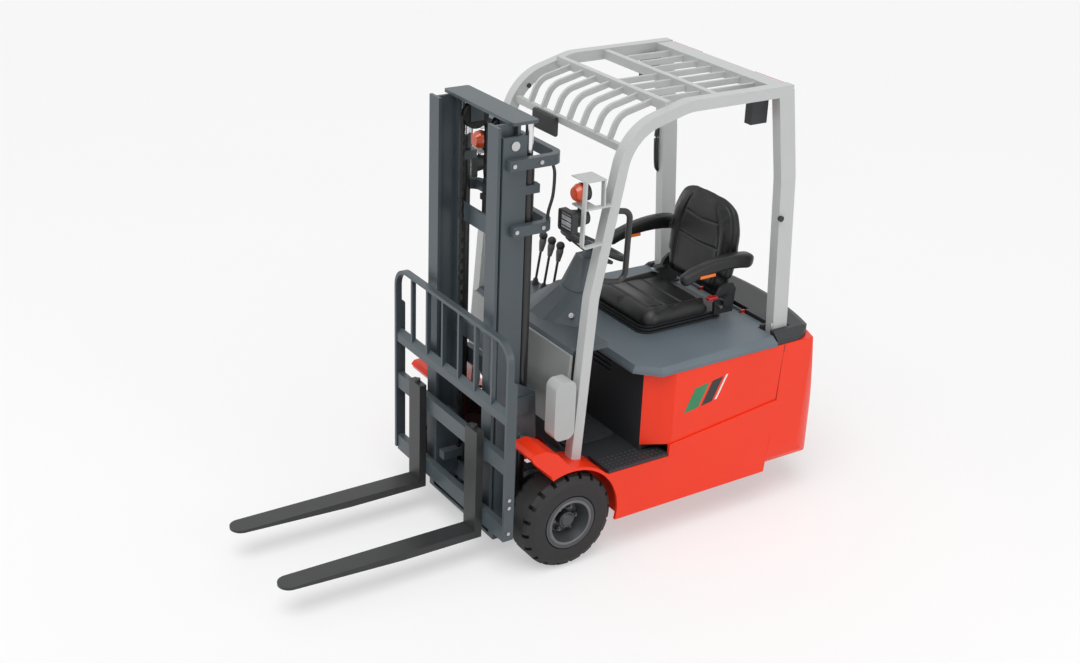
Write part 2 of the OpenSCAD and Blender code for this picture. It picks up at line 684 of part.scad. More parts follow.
back_low = hood_z + 96;
back_top = hood_z + 570;
function back_half() = [[150, 0], [190, 18], [205, 88], [225, 122], [225, 290], [208, 360], [170, 430], [112, 466], [0, 474]];
module seat_back() color(black) shifted() intersection() {
  side_solid(-230, 230) polygon([[1000, back_low], [1012, back_low + 90], [1022, back_low + 160], [1040, back_low + 330],
    [1060, back_low + 430], [1084, back_top], [1116, back_top], [1136, back_low + 420], [1128, back_low + 230],
    [1104, back_low + 40], [1086, back_low]]);
  translate([0, 1200, back_low]) rotate([90, 0, 0]) linear_extrude(300)
    polygon(concat(back_half(), flip([for (p = back_half()) if (p[0] > 0) [-p[0], p[1]]])));
}

arm_x = [262, 318];
arm_path = [[744, 1150], [838, 1190], [1028, 1194], [1122, 1162]];
arm_h = 54;
module armrests() color(black) shifted() both() {
  side_solid(arm_x[0], arm_x[1]) {
    bent_strip(arm_path, 120, arm_h);
    for (p = [arm_path[0], arm_path[3]]) translate(p) circle(d = arm_h - 6);
  }
  across(40, 225.3, arm_x[0] + 1, 1082, 1178);
}

rim_r = 150;
module steering_wheel() color(black) shifted()
  translate([0, wheel_hub[0], wheel_hub[1]]) rotate([-column_tilt, 0, 0]) {
    rotate_extrude($fn = 72) translate([rim_r, 0]) circle(d = 28, $fn = 24);
    translate([0, 0, -hub_low]) cylinder(d = 78, h = hub_low + 8);
    for (a = [90, 210, 330]) rotate(a) translate([30, -14, -14]) cube([rim_r - 40, 28, 10]);
    rotate(-135) translate([rim_r, 0, 8]) cylinder(d = 28, h = 46);
  }

// wheels
hub_out = wheel_x + 40;
module front_rim() translate([0, 0, axle_z]) rotate([0, 90, 0]) difference() {
  union() {
    translate([0, 0, -tyre_w / 2]) cylinder(d = rim_d - 26, h = tyre_w);
    for (z = [-tyre_w / 2, tyre_w / 2 - 12]) translate([0, 0, z]) cylinder(d = rim_d, h = 12);
  }
  translate([0, 0, 20]) cylinder(d1 = 150, d2 = 196, h = tyre_w / 2 - 19);
  translate([0, 0, -tyre_w]) cylinder(d = spindle_d + 2 * fit, h = 2 * tyre_w);
}

// Cuts between the lugs on both shoulders of a tyre that turns about Z.
lugs = 20;
module lug_cuts(r, w, deep, wide, long) for (s = [-1, 1]) for (i = [0 : lugs - 1])
  rotate((i + s / 4) * 360 / lugs) translate([r - deep, -wide / 2, s > 0 ? w / 2 - long : -w / 2 - 1]) cube([deep + 2, wide, long + 1]);

module front_tyre() translate([0, 0, axle_z]) rotate([0, 90, 0]) difference() {
  front_tyre_form();
  lug_cuts(axle_z, tyre_w, 20, 18, 46);
}

module front_tyre_form() rotate_extrude($fn = 96) polygon([[rim_d / 2 - 13, -tyre_w / 2 + 12], [rim_d / 2, -tyre_w / 2 + 12], [rim_d / 2 + 6, -tyre_w / 2],
    [axle_z - 40, -tyre_w / 2], [axle_z - 8, -tyre_w / 2 + 18], [axle_z, -tyre_w / 2 + 34],
    [axle_z, tyre_w / 2 - 34], [axle_z - 8, tyre_w / 2 - 18], [axle_z - 40, tyre_w / 2],
    [rim_d / 2 + 6, tyre_w / 2], [rim_d / 2, tyre_w / 2 - 12], [rim_d / 2 - 13, tyre_w / 2 - 12]]);

module rim_left() color(slate) shifted() translate([wheel_x, 0, 0]) front_rim();
module tyre_left() color(black) shifted() translate([wheel_x, 0, 0]) front_tyre();
module rim_right() color(slate) shifted() mirror([1, 0, 0]) translate([wheel_x, 0, 0]) front_rim();
module tyre_right() color(black) shifted() mirror([1, 0, 0]) translate([wheel_x, 0, 0]) front_tyre();

post_d = 90;
rear_x = (rear_gap + rear_tyre_w) / 2;
rear_rim_d = 210;
module steer_yoke() color(dark) shifted() translate([0, wheelbase, 0]) {
  translate([0, 0, rear_z]) rotate([0, 90, 0]) translate([0, 0, -rear_gap / 2 + 6])
    cylinder(d = 120, h = rear_gap - 12);
  box([-rear_gap / 2 + 6, -60, rear_z], [rear_gap / 2 - 6, 60, steer_top - 30]);
  translate([0, 0, steer_top - 30]) cylinder(d = 300, h = 24);
  translate([0, 0, steer_top - 6]) cylinder(d = post_d, h = 100);
  across(stub_d, -rear_x - 46, rear_x + 46, 0, rear_z);
}

module rear_rims() color(slate) shifted() both() translate([rear_x, wheelbase, rear_z]) rotate([0, 90, 0])
  difference() {
    union() {
      translate([0, 0, -rear_tyre_w / 2]) cylinder(d = rear_rim_d - 20, h = rear_tyre_w);
      for (z = [-rear_tyre_w / 2, rear_tyre_w / 2 - 8]) translate([0, 0, z]) cylinder(d = rear_rim_d, h = 8);
    }
    translate([0, 0, 10]) cylinder(d1 = 130, d2 = 170, h = rear_tyre_w / 2 - 9);
    translate([0, 0, -rear_tyre_w]) cylinder(d = stub_d + 2 * fit, h = 2 * rear_tyre_w);
  }

module rear_tyres() color(black) shifted() both() translate([rear_x, wheelbase, rear_z]) rotate([0, 90, 0]) difference() {
  rotate_extrude($fn = 96) polygon([[rear_rim_d / 2 - 10, -rear_tyre_w / 2 + 8], [rear_rim_d / 2, -rear_tyre_w / 2 + 8],
    [rear_rim_d / 2 + 4, -rear_tyre_w / 2], [rear_z - 24, -rear_tyre_w / 2], [rear_z, -rear_tyre_w / 2 + 22],
    [rear_z, rear_tyre_w / 2 - 22], [rear_z - 24, rear_tyre_w / 2], [rear_rim_d / 2 + 4, rear_tyre_w / 2],
    [rear_rim_d / 2, rear_tyre_w / 2 - 8], [rear_rim_d / 2 - 10, rear_tyre_w / 2 - 8]]);
  lug_cuts(rear_z, rear_tyre_w, 12, 14, 30);
}

// mast
flange_t = 14;
web_t = 14;
in_front = -mast_front;
out_front = in_front + flange_t + rail_gap;
out_rear = out_front + rail_depth;
out_web = mast_half - web_t;
in_web = out_web - rail_step;
win_half = in_web - flange_in;
out_tip = in_web + web_t + rail_gap;
in_rear = out_rear - flange_t - rail_gap;
in_bottom = mast_bottom + lift_now;
in_top = mast_top + lift_now;
cap_d = 190;
lift_x = mast_half - 34;
lift_y = out_rear + lift_d / 2 + 5;
tie_w = 30;
tie_h = 46;
upper_tie = 1820;
lower_tie = 1532;

module outer_section() {
  translate([out_web, out_front]) square([web_t, rail_depth]);
  translate([out_tip, out_front]) square([mast_half - out_tip, flange_t]);
  translate([out_tip, out_rear - flange_t]) square([mast_half - out_tip, flange_t]);
}

module inner_section() {
  translate([in_web, in_front]) square([web_t, in_rear - in_front]);
  translate([win_half, in_front]) square([mast_half - 8 - win_half, flange_t]);
  translate([win_half, in_rear - flange_t]) square([out_web - rail_gap - win_half, flange_t]);
}

module tie(z, h, rear, start) {
  x = mast_half + tie_w / 2;
  translate([0, 0, z]) linear_extrude(h)
    bent_strip([[-x, start], [-x, rear - tie_w / 2], [x, rear - tie_w / 2], [x, start]], 50, tie_w);
}

foot_t = 15;
clamp_z = 1700;
clamp_h = 38;
clamp_t = 12;
module cylinder_clamp() translate([0, 0, clamp_z]) difference() {
  box([lift_x - lift_d / 2 - clamp_t, out_rear, 0], [mast_half, lift_y + lift_d / 2 + clamp_t, clamp_h]);
  translate([lift_x, lift_y, -1]) cylinder(d = lift_d + 0.6, h = clamp_h + 2);
}

cap_x = [win_half - 10, win_half + 24];
bracket_t = 20;
module outer_mast() color(slate) shifted() {
  both() {
    translate([0, 0, mast_bottom]) linear_extrude(mast_top - mast_bottom) outer_section();
    difference() {
      side_solid(cap_x[0], cap_x[1]) {
        translate([0, axle_z]) circle(d = cap_d, $fn = 72);
        polygon([[out_rear, mast_bottom - foot_t], [-30, mast_bottom - foot_t], [0, axle_z - cap_d / 2],
          [0, axle_z + cap_d / 2], [out_rear, axle_z + 60]]);
      }
      across(axle_d + 2 * fit, 0, 600, 0, axle_z);
    }
    side_solid(mast_half, mast_half + bracket_t)
      polygon([[-172, 860], [-60, 790], [-50, 560], [-90, 535], [-150, 535], [-172, 560]]);
    across(tilt_pin_d, mast_half + bracket_t, tilt_half + 18, tilt_eye[0], tilt_eye[1]);
    cylinder_clamp();
  }
  tie(upper_tie, tie_h, 40, -228);
  tie(lower_tie, tie_h, 6, -205);
  tie(700, 80, -42, -160);
  box([-mast_half, out_front, mast_bottom - foot_t], [mast_half, lift_y + lift_d / 2, mast_bottom]);
}

module lift_barrels() color(black) shifted() both() translate([lift_x, lift_y, mast_bottom + 0.3]) difference() {
  cylinder(d = lift_d, h = mast_top - mast_bottom - 150);
  translate([0, 0, 60]) cylinder(d = lift_rod_d + 1, h = mast_top);
}

sheave_z = in_top - 62;
sheave_y = -139;
chain_x = win_half - chain_inset;
chain_w = 24;
chain_t = 10;
anchor_z = lower_tie + tie_h + 40;
back_y = sheave_y + sheave_d / 2;
front_y = sheave_y - sheave_d / 2;
module chain_anchors() color(dark) shifted() both() {
  box([chain_x - 22, back_y - 12, lower_tie + 10], [chain_x + 22, 6 - tie_w, lower_tie + 36]);
  box([chain_x - 9, back_y - 9, lower_tie - 60], [chain_x + 9, back_y + 9, anchor_z]);
}

// Leaf chain between two heights: its edges step in at every joint of the links.
chain_pitch = 50;
chain_step = 5;
function chain_edge(z0, z1) = let (n = round((z1 - z0) / chain_pitch))
  [for (i = [0 : 2 * n]) [chain_w / 2 - (i % 2) * chain_step, z0 + (z1 - z0) * i / (2 * n)]];
module chain_run(y, z0, z1) translate([chain_x, y + chain_t / 2, 0]) rotate([90, 0, 0]) linear_extrude(chain_t)
  polygon(concat(chain_edge(z0, z1), flip([for (p = chain_edge(z0, z1)) [-p[0], p[1]]])));

module chain_back() color(dark) shifted() both() chain_run(back_y, anchor_z, sheave_z);

module inner_mast() color(slate) shifted() {
  both() {
    translate([0, 0, in_bottom]) linear_extrude(in_top - in_bottom) inner_section();
    box([chain_x - 24, sheave_y - 30, sheave_z - 24], [chain_x - 16, sheave_y + 30, in_top]);
    box([chain_x + 16, sheave_y - 30, sheave_z - 24], [chain_x + 24, sheave_y + 30, in_top]);
    across(24, chain_x - 24, chain_x + 24, sheave_y, sheave_z);
  }
  translate([0, 0, in_top]) linear_extrude(head_t)
    round_rect([-mast_half + 6, -196], [mast_half - 6, lift_y + 28], 12);
  for (z = [in_bottom + 20, 900, 1450])
    box([-in_web, in_rear - flange_t, z], [in_web, in_rear, z + 80]);
}

module lift_rods() color(steel) shifted() both() translate([lift_x, lift_y, mast_bottom + 120])
  cylinder(d = lift_rod_d, h = in_top - mast_bottom - 120);

module chain_wheels() color(dark) shifted() both() translate([chain_x, sheave_y, sheave_z]) rotate([0, 90, 0])
  difference() {
    union() {
      translate([0, 0, -15]) cylinder(d = sheave_d - chain_t - 1, h = 30);
      for (z = [-15.5, 12.5]) translate([0, 0, z]) cylinder(d = sheave_d + 6, h = 3);
    }
    translate([0, 0, -40]) cylinder(d = 24.4, h = 80);
  }

chain_foot = 350;
module chain_front() color(dark) shifted() both() chain_run(front_y, chain_foot, sheave_z);

// carriage
bars_low = fork_z + 67;
bar_front = -fork_face + fork_t;
bar_t = 32;
bar_h = 76;
post_t = 16;
plate_x = win_half - 34;
module carriage() color(slate) shifted() {
  for (z = [bars_low, bars_low + bars_h - bar_h])
    box([-rest_w / 2 + post_t + 0.3, bar_front, z], [rest_w / 2 - post_t - 0.3, bar_front + bar_t, z + bar_h]);
  both() {
    side_solid(plate_x, plate_x + 22) polygon([[bar_front + bar_t, bars_low], [-170, bars_low],
      [-170, 500], [-205, 530], [bar_front + bar_t, 560]]);
    for (z = [bars_low + 50, 470]) translate([plate_x + 22, (in_front + flange_t + in_rear - flange_t) / 2, z])
      rotate([0, 90, 0]) cylinder(d = in_rear - in_front - 2 * flange_t - 0.6, h = 26);
    box([chain_x - 20, bar_front + bar_t, chain_foot - 40], [chain_x + 20, front_y + 14, chain_foot]);
  }
}

rest_top = bars_low + rest_h;
sill_z = 766;
sill_h = 62;
module backrest() color(slate) shifted() {
  x = rest_w / 2 - post_t / 2;
  y = bar_front - 7;
  low = bars_low + 12;
  translate([0, y + 30, 0]) rotate([90, 0, 0]) linear_extrude(30)
    bent_strip([[-x, low], [-x, rest_top - post_t / 2], [x, rest_top - post_t / 2], [x, low]], 90, post_t);
  both() side_solid(x - post_t / 2, x + post_t / 2) {
    translate([y + 26, low]) square([22, 740]);
    translate([y + 26, low + 740]) circle(22);
  }
  side_solid(-x, x) polygon([[y + 4, sill_z], [y + 34, sill_z], [y + 34, sill_z + 58], [y + 26, sill_z + sill_h], [y + 4, sill_z + 38]]);
  for (i = [1 : rest_bars]) {
    bx = -x + i * 2 * x / (rest_bars + 1);
    box([bx - 7, y + 8, sill_z + 20], [bx + 7, y + 28, rest_top - post_t]);
  }
}

module fork_side() {
  polygon([[-fork_face + fork_t, fork_z], [-fork_face + fork_t, fork_z + shank_h], [-fork_face, fork_z + shank_h],
    [-fork_face, fork_z + fork_t], [tip_y, fork_z + fork_t], [tip_y, fork_z + fork_t - 12],
    [tip_y + 560, fork_z]]);
}

module forks() color([0.16, 0.16, 0.16]) shifted() both() translate([fork_span / 2, 0, 0]) {
  intersection() {
    side_solid(-fork_w / 2, fork_w / 2) fork_side();
    linear_extrude(2000) {
      translate([-fork_w / 2, tip_y + fork_w / 2]) square([fork_w, fork_len + fork_t]);
      translate([0, tip_y + fork_w / 2]) circle(d = fork_w);
    }
  }
}

// tilt cylinders, base eye on the chassis and rod eye on the mast bracket
module tilt_frame() {
  translate([tilt_half, tilt_base[0], tilt_base[1]]) rotate([90 + tilt_angle, 0, 0]) children();
}

module tilt_barrels() color(dark) shifted() both() tilt_frame() difference() {
  union() {
    rotate([0, 90, 0]) translate([0, 0, -clevis_gap / 2 + 1]) cylinder(d = 50, h = clevis_gap - 2);
    box([-clevis_gap / 2 + 1, -20, 0], [clevis_gap / 2 - 1, 20, 40]);
    translate([0, 0, 36]) cylinder(d = tilt_d, h = 270);
  }
  translate([0, 0, 130]) cylinder(d = tilt_rod_d + 1, h = 300);
  rotate([0, 90, 0]) translate([0, 0, -50]) cylinder(d = tilt_pin_d + 2 * fit, h = 100);
}

module tilt_rods() color(steel) shifted() both() tilt_frame() difference() {
  union() {
    translate([0, 0, 200]) cylinder(d = tilt_rod_d, h = tilt_len - 200 - 18);
    translate([0, 0, tilt_len]) rotate([0, 90, 0]) translate([0, 0, -12]) cylinder(d = 50, h = 24);
  }
  translate([0, 0, tilt_len]) rotate([0, 90, 0]) translate([0, 0, -50]) cylinder(d = tilt_pin_d + 4, h = 100);
}

chassis_frame();
fenders();
front_axle();
floor_plate();
floor_mat();
cowl();
console();
levers();
pedals();
battery_wall();
battery();
side_panels();
counterweight();
tow_pin();
rear_cover();
guard();
lamp_brackets();
head_lamps();
turn_lamps();
tail_lamps();
light_strips();
view_mirror();
grab_bars();
charge_box();
hood();
seat_base();
seat_cushion();
seat_back();
armrests();
steering_wheel();
rim_left();
tyre_left();
rim_right();
tyre_right();
steer_yoke();
rear_rims();
rear_tyres();
outer_mast();
lift_barrels();
chain_anchors();
chain_back();
inner_mast();
lift_rods();
chain_wheels();
chain_front();
carriage();
backrest();
forks();
tilt_barrels();
tilt_rods();
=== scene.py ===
"""Looks of the three-wheel electric fork-lift truck, built around its CAD frame."""
import math

import bmesh
import bpy
from mathutils import Matrix, Vector


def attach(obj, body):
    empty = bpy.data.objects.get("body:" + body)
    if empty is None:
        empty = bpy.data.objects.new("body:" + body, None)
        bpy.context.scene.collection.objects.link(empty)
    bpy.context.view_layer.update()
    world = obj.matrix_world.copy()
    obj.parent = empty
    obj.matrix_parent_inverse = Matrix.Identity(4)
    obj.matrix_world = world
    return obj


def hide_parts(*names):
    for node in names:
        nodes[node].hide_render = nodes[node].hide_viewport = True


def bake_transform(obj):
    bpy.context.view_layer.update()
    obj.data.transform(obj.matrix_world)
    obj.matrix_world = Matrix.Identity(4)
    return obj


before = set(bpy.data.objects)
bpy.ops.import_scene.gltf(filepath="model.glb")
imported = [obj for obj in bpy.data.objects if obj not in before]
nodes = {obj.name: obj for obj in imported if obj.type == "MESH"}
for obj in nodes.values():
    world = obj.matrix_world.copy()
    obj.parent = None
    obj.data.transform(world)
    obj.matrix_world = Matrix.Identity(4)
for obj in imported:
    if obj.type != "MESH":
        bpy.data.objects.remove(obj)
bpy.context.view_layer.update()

# Places below are in millimetres: x to the driver's left, y behind the front axle, z over the floor.
AXLE_Y = -0.125
SIDES = ((1, "left"), (-1, "right"))


def at(x, y, z):
    """Point in millimetres from the front axle, as metres in the row frame."""
    return Vector((x / 1000, y / 1000 + AXLE_Y, z / 1000))


# Materials
def shade(color, k):
    return tuple(min(1.0, c * k) for c in color) + (1.0,)


def material(
    name, color, rough=0.45, metal=0.0, coat=0.0, vary=0.07, scale=5.0, grain=0.0, fine=900.0, shine=0.5,
):
    """Procedural finish: cloudy colour and roughness, and a fine bump where grain is set."""
    m = bpy.data.materials.new(name)
    m.use_nodes = True
    tree = m.node_tree
    new, link = tree.nodes.new, tree.links.new
    bsdf = tree.nodes["Principled BSDF"]
    bsdf.inputs["Metallic"].default_value = metal
    bsdf.inputs["Specular IOR Level"].default_value = shine
    bsdf.inputs["Coat Weight"].default_value = coat
    bsdf.inputs["Coat Roughness"].default_value = 0.12
    spot = new("ShaderNodeTexCoord")
    cloud = new("ShaderNodeTexNoise")
    cloud.inputs["Scale"].default_value = scale
    cloud.inputs["Detail"].default_value = 5.0
    ramp = new("ShaderNodeValToRGB")
    ramp.color_ramp.elements[0].position = 0.3
    ramp.color_ramp.elements[1].position = 0.7
    ramp.color_ramp.elements[0].color = shade(color, 1 - vary)
    ramp.color_ramp.elements[1].color = shade(color, 1 + vary)
    spread = new("ShaderNodeMapRange")
    spread.inputs["To Min"].default_value = max(0.02, rough - 0.06)
    spread.inputs["To Max"].default_value = min(1.0, rough + 0.08)
    link(spot.outputs["Object"], cloud.inputs["Vector"])
    link(cloud.outputs["Fac"], ramp.inputs["Fac"])
    link(ramp.outputs["Color"], bsdf.inputs["Base Color"])
    link(cloud.outputs["Fac"], spread.inputs["Value"])
    link(spread.outputs["Result"], bsdf.inputs["Roughness"])
    if grain:
        dust = new("ShaderNodeTexNoise")
        dust.inputs["Scale"].default_value = fine
        dust.inputs["Detail"].default_value = 3.0
        bump = new("ShaderNodeBump")
        bump.inputs["Strength"].default_value = grain
        bump.inputs["Distance"].default_value = 0.001
        link(spot.outputs["Object"], dust.inputs["Vector"])
        link(dust.outputs["Fac"], bump.inputs["Height"])
        link(bump.outputs["Normal"], bsdf.inputs["Normal"])
    return m


# Painted sheet and castings
RED = material(
    "red_paint", (0.90, 0.036, 0.006), 0.34, coat=0.1, vary=0.03, scale=2.0, grain=0.03, shine=0.3,
)
SLATE = material("slate_paint", (0.058, 0.076, 0.087), 0.42, coat=0.1, vary=0.06, grain=0.06)
RIM = material("rim_paint", (0.06, 0.066, 0.072), 0.4, metal=0.2, vary=0.08, grain=0.05)
DARK = material("dark_paint", (0.022, 0.025, 0.029), 0.55, vary=0.12, grain=0.1)
BLACK = material("black_paint", (0.012, 0.012, 0.013), 0.35, coat=0.2, vary=0.1, grain=0.04)
PALE = material("pale_paint", (0.52, 0.535, 0.53), 0.4, coat=0.1, vary=0.03, scale=3.0, grain=0.05)
SILVER = material("silver_paint", (0.34, 0.355, 0.35), 0.36, metal=0.3, vary=0.05, scale=4.0, grain=0.05)
LID = material("lid_paint", (0.118, 0.15, 0.172), 0.5, vary=0.06, scale=4.0, grain=0.15, fine=1400)
CASE = material("battery_case", (0.05, 0.055, 0.06), 0.6, vary=0.1, grain=0.05)

# Plastics, rubber and vinyl
PLASTIC = material("dark_plastic", (0.02, 0.021, 0.023), 0.5, vary=0.1, grain=0.12, fine=1500)
BOX = material("box_plastic", (0.44, 0.455, 0.45), 0.35, coat=0.2, vary=0.04, scale=6.0, grain=0.04)
GRIP = material("grip_grey", (0.12, 0.122, 0.12), 0.5, vary=0.1, scale=30.0, grain=0.1)
RUBBER = material(
    "tyre_rubber", (0.011, 0.011, 0.0115), 0.62, vary=0.2, scale=14.0, grain=0.25, fine=500,
)
MAT = material("mat_rubber", (0.03, 0.033, 0.036), 0.75, vary=0.2, scale=20.0, grain=0.4, fine=300)
VINYL = material(
    "seat_vinyl", (0.008, 0.0083, 0.009), 0.38, coat=0.08, vary=0.12, scale=9.0, grain=0.25, fine=700,
    shine=0.4,
)

# Bare metal
FORK = material("fork_steel", (0.03, 0.031, 0.032), 0.42, metal=0.15, vary=0.14, scale=7.0, grain=0.12)
CHROME = material("rod_chrome", (0.75, 0.75, 0.76), 0.12, metal=1.0, vary=0.04, grain=0.02)
DULL = material("dull_steel", (0.16, 0.165, 0.17), 0.34, metal=0.8, vary=0.1, scale=12.0, grain=0.06)
STEEL = material("pin_steel", (0.52, 0.52, 0.53), 0.32, metal=1.0, vary=0.08, grain=0.06)
CHAIN = material("chain_steel", (0.035, 0.035, 0.036), 0.4, metal=0.7, vary=0.25, scale=60.0, grain=0.1)
MIRROR = material("mirror_glass", (0.82, 0.84, 0.86), 0.05, metal=1.0, vary=0.02, scale=3.0)

# Lenses and films
LENS = {"coat": 0.5, "scale": 40.0, "grain": 0.15, "fine": 250}
AMBER = material("amber_lens", (0.60, 0.062, 0.008), 0.18, vary=0.1, **LENS)
REDLENS = material("red_lens", (0.55, 0.012, 0.012), 0.2, vary=0.12, **LENS)
CLEAR = material(
    "clear_lens", (0.74, 0.76, 0.77), 0.12, metal=0.35, coat=0.6, vary=0.15, scale=30.0, grain=0.2, fine=160,
)
ORANGE = material("orange_strip", (0.95, 0.20, 0.02), 0.4, vary=0.1, scale=60.0, grain=0.1)
GREEN = material("green_film", (0.02, 0.22, 0.09), 0.35, vary=0.08, scale=20.0)
WHITE = material("white_film", (0.8, 0.8, 0.78), 0.35, vary=0.04, scale=20.0)

FINISH = {
    RED: "chassis_frame fenders side_panels counterweight",
    SLATE: "outer_mast inner_mast carriage backrest console",
    RIM: "rim_left rim_right rear_rims",
    DARK: "front_axle floor_plate steer_yoke chain_anchors tilt_barrels battery_wall",
    PLASTIC: "rear_cover levers pedals view_mirror tail_lamps seat_base steering_wheel head_lamps",
    BLACK: "lift_barrels grab_bars",
    PALE: "guard lamp_brackets",
    SILVER: "cowl",
    BOX: "charge_box",
    LID: "hood",
    CASE: "battery",
    FORK: "forks",
    RUBBER: "tyre_left tyre_right rear_tyres",
    MAT: "floor_mat",
    CHROME: "lift_rods tilt_rods",
    STEEL: "tow_pin",
    CHAIN: "chain_wheels chain_front chain_back",
    AMBER: "turn_lamps",
    REDLENS: "light_strips",
    VINYL: "seat_cushion seat_back armrests",
}
for mat, names in FINISH.items():
    for name in names.split():
        nodes[name].data.materials.clear()
        nodes[name].data.materials.append(mat)


# Building helpers
def place(name, mesh, mat, body, smooth=False):
    obj = bpy.data.objects.new(name, mesh)
    bpy.context.scene.collection.objects.link(obj)
    mesh.materials.clear()
    mesh.materials.append(mat)
    mesh.polygons.foreach_set("use_smooth", [smooth] * len(mesh.polygons))
    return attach(obj, body)


def from_bm(name, bm, mat, body, smooth=False):
    mesh = bpy.data.meshes.new(name)
    bm.to_mesh(mesh)
    bm.free()
    return place(name, mesh, mat, body, smooth)


def add_rod(bm, p, q, r0, r1=None, n=20):
    """Rod or cone from p to q."""
    p, q = at(*p), at(*q)
    d = q - p
    turn = d.to_track_quat("Z", "Y").to_matrix().to_4x4()
    bmesh.ops.create_cone(
        bm, cap_ends=True, segments=n, radius1=r0 / 1000, radius2=(r0 if r1 is None else r1) / 1000,
        depth=d.length, matrix=Matrix.Translation((p + q) / 2) @ turn,
    )


def add_box(bm, low, high, bevel=0.0):
    lo, hi = at(*low), at(*high)
    fit = Matrix.Translation((lo + hi) / 2) @ Matrix.Diagonal((*(hi - lo), 1))
    made = bmesh.ops.create_cube(bm, size=1, matrix=fit)
    if bevel:
        edges = list({e for v in made["verts"] for e in v.link_edges})
        bmesh.ops.bevel(bm, geom=edges, offset=bevel / 1000, segments=2, profile=0.6, affect="EDGES")


def rods(name, mat, body, items, n=20):
    bm = bmesh.new()
    for item in items:
        add_rod(bm, *item, n=n)
    return from_bm(name, bm, mat, body)


def boxes(name, mat, body, items, bevel=0.0):
    bm = bmesh.new()
    for low, high in items:
        add_box(bm, low, high, bevel)
    return from_bm(name, bm, mat, body)


def smooth_path(points, steps=8):
    """Catmull-Rom line through the points."""
    p = [Vector(q) for q in points]
    p = [2 * p[0] - p[1]] + p + [2 * p[-1] - p[-2]]
    line = []
    for i in range(1, len(p) - 2):
        a, b, c, d = p[i - 1 : i + 3]
        for k in range(steps):
            t = k / steps
            curve = 2 * b + (c - a) * t + (2 * a - 5 * b + 4 * c - d) * t * t
            line.append(0.5 * (curve + (3 * b - a - 3 * c + d) * t ** 3))
    return line + [p[-2]]


def sweep(name, line, section, mat, body, scale=None):
    """Closed skin along a line; section holds (side, up) offsets, side being level."""
    points, faces, n = [], [], len(section)
    for i, p in enumerate(line):
        d = (line[min(i + 1, len(line) - 1)] - line[max(i - 1, 0)]).normalized()
        side = d.cross(Vector((0, 0, 1)))
        side = side.normalized() if side.length > 1e-4 else Vector((1, 0, 0))
        up = side.cross(d)
        k = scale[i] if scale else 1.0
        points += [at(*(p + side * a * k + up * b * k)) for a, b in section]
    for i in range(len(line) - 1):
        for j in range(n):
            m = (j + 1) % n
            faces.append((i * n + j, i * n + m, (i + 1) * n + m, (i + 1) * n + j))
    faces += [tuple(range(n - 1, -1, -1)), tuple((len(line) - 1) * n + j for j in range(n))]
    mesh = bpy.data.meshes.new(name)
    mesh.from_pydata(points, [], faces)
    return place(name, mesh, mat, body, True)


def ring(r, n=12):
    return [(r * math.cos(2 * math.pi * k / n), r * math.sin(2 * math.pi * k / n)) for k in range(n)]


def superellipse(a, b, power, n=28):
    out = []
    for k in range(n):
        c, s = math.cos(2 * math.pi * k / n), math.sin(2 * math.pi * k / n)
        out.append((a * math.copysign(abs(c) ** power, c), b * math.copysign(abs(s) ** power, s)))
    return out


def step01(t):
    """Smooth step from 0 to 1."""
    t = min(1.0, max(0.0, t))
    return t * t * (3 - 2 * t)


def swell(t, middle, width):
    """Bell curve of height 1."""
    return math.exp(-(((t - middle) / width) ** 2))


def between(table, t):
    """Value on the broken line of (place, value) pairs."""
    for (a, u), (b, v) in zip(table, table[1:]):
        if t <= b:
            return u + (v - u) * (t - a) / (b - a)
    return table[-1][1]


# Soft goods
def skin(outline, middle, face, rear, rings=16):
    """Closed form over an outline: face and rear give the points of its two sides at (a, b, f),
    f being 1 at the edge and 0 in the middle."""
    points, faces, n = [], [], len(outline)
    for side in (face, rear):
        for k in range(rings):
            f = 1 - (k / rings) ** 1.6
            for a, b in outline:
                points.append(side(middle[0] + f * (a - middle[0]), middle[1] + f * (b - middle[1]), f))
        points.append(side(middle[0], middle[1], 0.0))
    half = rings * n + 1
    for s in (0, 1):
        o = s * half
        for k in range(rings):
            for j in range(n):
                i, m = o + k * n + j, o + k * n + (j + 1) % n
                quad = (i, m, o + half - 1) if k == rings - 1 else (i, m, m + n, i + n)
                faces.append(quad if s == 0 else quad[::-1])
    for j in range(n):
        faces.append((half + j, half + (j + 1) % n, (j + 1) % n, j))
    mesh = bpy.data.meshes.new("form")
    mesh.from_pydata([at(*p) for p in points], [], faces)
    return mesh


def baked(obj):
    graph = bpy.context.evaluated_depsgraph_get()
    return bpy.data.meshes.new_from_object(obj.evaluated_get(graph))


VOXEL = 0.006
PRESSURE = 4.0
CLOTH_FRAMES = 20


def swollen(obj, cap):
    """Swell the piece by cloth under pressure, no point moving further than cap."""
    scene = bpy.context.scene
    start = [v.co.copy() for v in obj.data.vertices]
    cloth = obj.modifiers.new("swell", "CLOTH")
    cloth.settings.use_pressure = True
    cloth.settings.uniform_pressure_force = PRESSURE
    cloth.settings.effector_weights.gravity = 0.0
    cloth.settings.quality = 4
    cloth.point_cache.frame_end = CLOTH_FRAMES
    for f in range(1, CLOTH_FRAMES + 1):
        scene.frame_set(f)
    done = baked(obj)
    obj.modifiers.clear()
    scene.frame_set(1)
    for v, w, s in zip(obj.data.vertices, done.vertices, start):
        d = w.co - s
        v.co = s + d * min(1.0, cap / max(d.length, 1e-9))
    bpy.data.meshes.remove(done)


